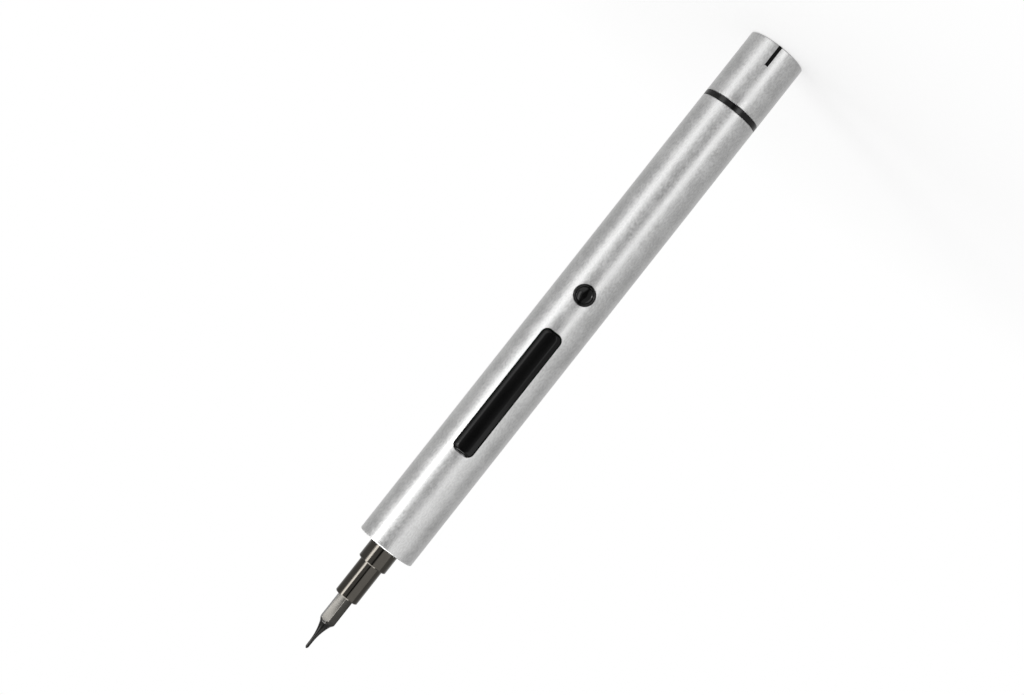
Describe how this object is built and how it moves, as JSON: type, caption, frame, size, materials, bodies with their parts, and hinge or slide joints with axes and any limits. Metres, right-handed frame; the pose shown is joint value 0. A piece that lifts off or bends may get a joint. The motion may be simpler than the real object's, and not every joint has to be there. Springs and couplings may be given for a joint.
{
  "type": "electric torque screwdriver",
  "caption": "Pen-shaped cordless electric screwdriver: slim aluminium barrel with a long rocker button and a round button, torque dial at the tail, stepped nose with a hexagonal bit.",
  "frame": {"origin": "centre of the torque dial's end face, on the tool's long axis", "axes": "+Z along the tool from the dial to the bit; -Y the side with the buttons"},
  "size_m": [0.016, 0.0164, 0.1924],
  "materials": {
    "brushed_aluminium": "fine satin",
    "gunmetal": "dark plated, satin",
    "bit_steel": "ground, satin",
    "steel": "bright",
    "gear_bronze": "sintered",
    "gear_housing": "machined",
    "gloss_black": "satin gloss",
    "matt_black": "matt",
    "frame_plastic": "matt",
    "board_green": "solder mask",
    "lens_clear": "clear",
    "led_yellow": "phosphor",
    "magnet": "nickel plated",
    "copper": "enamelled wire",
    "iron_stack": "laminated",
    "cell_wrap": "shrink film",
    "nickel": "nickel strip",
    "lead_red": "wire insulation"
  },
  "bodies": {
    "handle": {"barrel": "brushed_aluminium", "seam_ring": "gloss_black", "front_plate": "matt_black", "nose_sleeve": "gunmetal", "led_board": "board_green", "led_chips": "led_yellow", "led_lenses": "lens_clear", "bearing_outer": "steel", "bearing_balls": "steel", "gearbox_housing": "gear_housing", "motor_plate": "steel", "motor_screws": "steel", "motor_can": "steel", "motor_magnets": "magnet", "motor_bush": "gear_bronze", "motor_end_bell": "matt_black", "motor_brushes": "gear_bronze", "motor_leads": "lead_red", "chassis_tray": "frame_plastic", "chassis_cover": "frame_plastic", "chassis_screw": "steel", "main_board": "board_green", "board_chips": "matt_black", "button_switches": "matt_black", "rocker_plungers": "matt_black", "rocker_pin": "steel", "power_bezel": "gloss_black", "battery_cell": "cell_wrap", "battery_straps": "nickel", "charge_leads": "lead_red", "tail_core": "frame_plastic", "end_plate": "matt_black", "end_plate_screws": "steel", "usb_shell": "steel", "usb_tongue": "matt_black", "charge_board": "board_green", "charge_chips": "matt_black", "detent_ball": "steel", "detent_spring": "steel"},
    "dial": {"torque_dial": "brushed_aluminium", "index_inlay": "gloss_black", "dial_magnet": "magnet"},
    "rocker": {"rocker_button": "gloss_black"},
    "power": {"power_button": "gloss_black", "power_plunger": "matt_black"},
    "spindle": {"output_carrier": "steel", "bit_holder": "gunmetal", "socket_magnet": "magnet", "bearing_inner": "steel"},
    "planet2_a": {"second_planet_a": "gear_bronze"},
    "planet2_b": {"second_planet_b": "gear_bronze"},
    "planet2_c": {"second_planet_c": "gear_bronze"},
    "stage1": {"first_carrier": "steel"},
    "planet1_a": {"first_planet_a": "gear_bronze"},
    "planet1_b": {"first_planet_b": "gear_bronze"},
    "planet1_c": {"first_planet_c": "gear_bronze"},
    "rotor": {"motor_shaft": "steel", "armature": "iron_stack", "windings": "copper"},
    "driver_bit": {"bit": "bit_steel"}
  },
  "joints": [
    {"name": "torque_dial_turn", "type": "hinge", "parent": "handle", "child": "dial", "pos_m": [0, 0, 0.00925], "axis": [0, 0, 1], "range_deg": [-120, 120]},
    {"name": "rocker_tilt", "type": "hinge", "parent": "handle", "child": "rocker", "pos_m": [0, -0.0056, 0.1104], "axis": [1, 0, 0], "range_deg": [-1.2, 1.2], "stiffness_Nm_per_rad": 0.5},
    {"name": "power_press", "type": "slide", "parent": "handle", "child": "power", "axis": [0, 1, 0], "range_m": [0, 0.0003], "stiffness_N_per_m": 1000},
    {"name": "spindle_spin", "type": "hinge", "parent": "handle", "child": "spindle", "pos_m": [0, 0, 0.16], "axis": [0, 0, 1], "continuous": true},
    {"name": "bit_pull", "type": "slide", "parent": "spindle", "child": "driver_bit", "axis": [0, 0, 1], "range_m": [0, 0.03]},
    {"name": "second_planet_a_spin", "type": "hinge", "parent": "spindle", "child": "planet2_a", "pos_m": [0.0036, 0, 0.1512], "axis": [0, 0, 1], "continuous": true},
    {"name": "second_planet_b_spin", "type": "hinge", "parent": "spindle", "child": "planet2_b", "pos_m": [-0.0018, 0.00312, 0.1512], "axis": [0, 0, 1], "continuous": true},
    {"name": "second_planet_c_spin", "type": "hinge", "parent": "spindle", "child": "planet2_c", "pos_m": [-0.0018, -0.00312, 0.1512], "axis": [0, 0, 1], "continuous": true},
    {"name": "first_carrier_spin", "type": "hinge", "parent": "handle", "child": "stage1", "pos_m": [0, 0, 0.149], "axis": [0, 0, 1], "continuous": true},
    {"name": "first_planet_a_spin", "type": "hinge", "parent": "stage1", "child": "planet1_a", "pos_m": [0.0036, 0, 0.1463], "axis": [0, 0, 1], "continuous": true},
    {"name": "first_planet_b_spin", "type": "hinge", "parent": "stage1", "child": "planet1_b", "pos_m": [-0.0018, 0.00312, 0.1463], "axis": [0, 0, 1], "continuous": true},
    {"name": "first_planet_c_spin", "type": "hinge", "parent": "stage1", "child": "planet1_c", "pos_m": [-0.0018, -0.00312, 0.1463], "axis": [0, 0, 1], "continuous": true},
    {"name": "motor_spin", "type": "hinge", "parent": "handle", "child": "rotor", "pos_m": [0, 0, 0.133], "axis": [0, 0, 1], "continuous": true}
  ],
  "couplings": [
    {"joint": "second_planet_a_spin", "follows": "motor_spin", "ratio": -0.1875},
    {"joint": "second_planet_b_spin", "follows": "motor_spin", "ratio": -0.1875},
    {"joint": "second_planet_c_spin", "follows": "motor_spin", "ratio": -0.1875},
    {"joint": "first_carrier_spin", "follows": "motor_spin", "ratio": 0.25},
    {"joint": "first_planet_a_spin", "follows": "motor_spin", "ratio": -0.75},
    {"joint": "first_planet_b_spin", "follows": "motor_spin", "ratio": -0.75},
    {"joint": "first_planet_c_spin", "follows": "motor_spin", "ratio": -0.75},
    {"joint": "spindle_spin", "follows": "motor_spin", "ratio": 0.0625}
  ]
}
